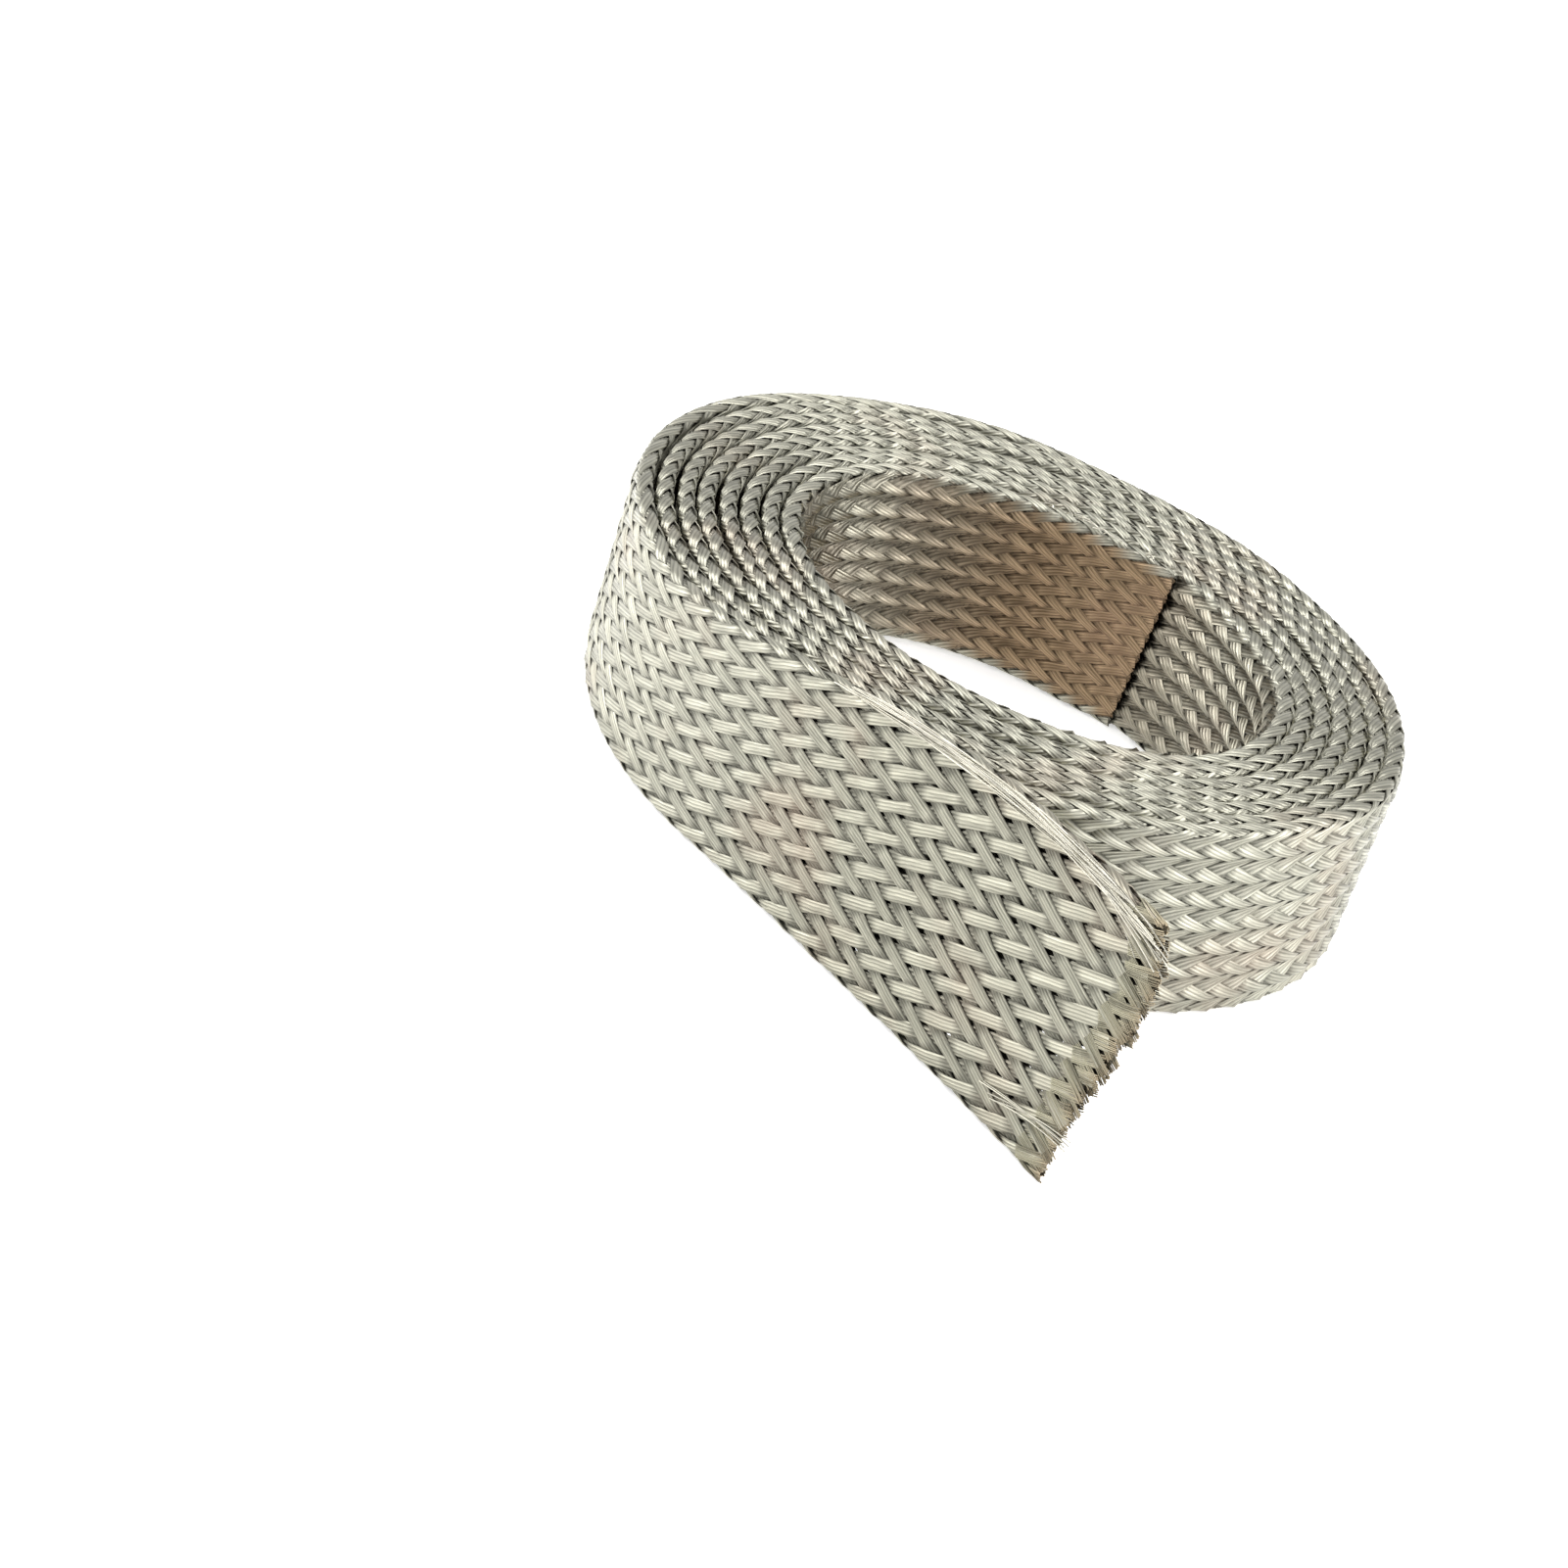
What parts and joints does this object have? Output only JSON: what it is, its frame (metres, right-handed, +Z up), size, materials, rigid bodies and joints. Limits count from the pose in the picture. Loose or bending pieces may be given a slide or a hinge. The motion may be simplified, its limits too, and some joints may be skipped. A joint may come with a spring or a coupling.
{
  "type": "flexible busbar braid",
  "caption": "Flat flexible tinned copper busbar braid, woven as a tube and rolled flat, wound into a loose oval coil with a frayed free tail.",
  "frame": {"origin": "on the surface it lies on, under the middle of the whole piece, free tail included", "axes": "+X along the coil's long axis, the way the free tail points; +Z up, across the width of the tape; +Y across the coil, away from the tail"},
  "size_m": [0.116, 0.0904, 0.033],
  "materials": {
    "tinned_copper": "fine drawn copper wires with a soft grey-green tin coat, satin, darker in the gaps of the weave"
  },
  "bodies": {
    "root": {"braid": "tinned_copper"}
  },
  "joints": []
}
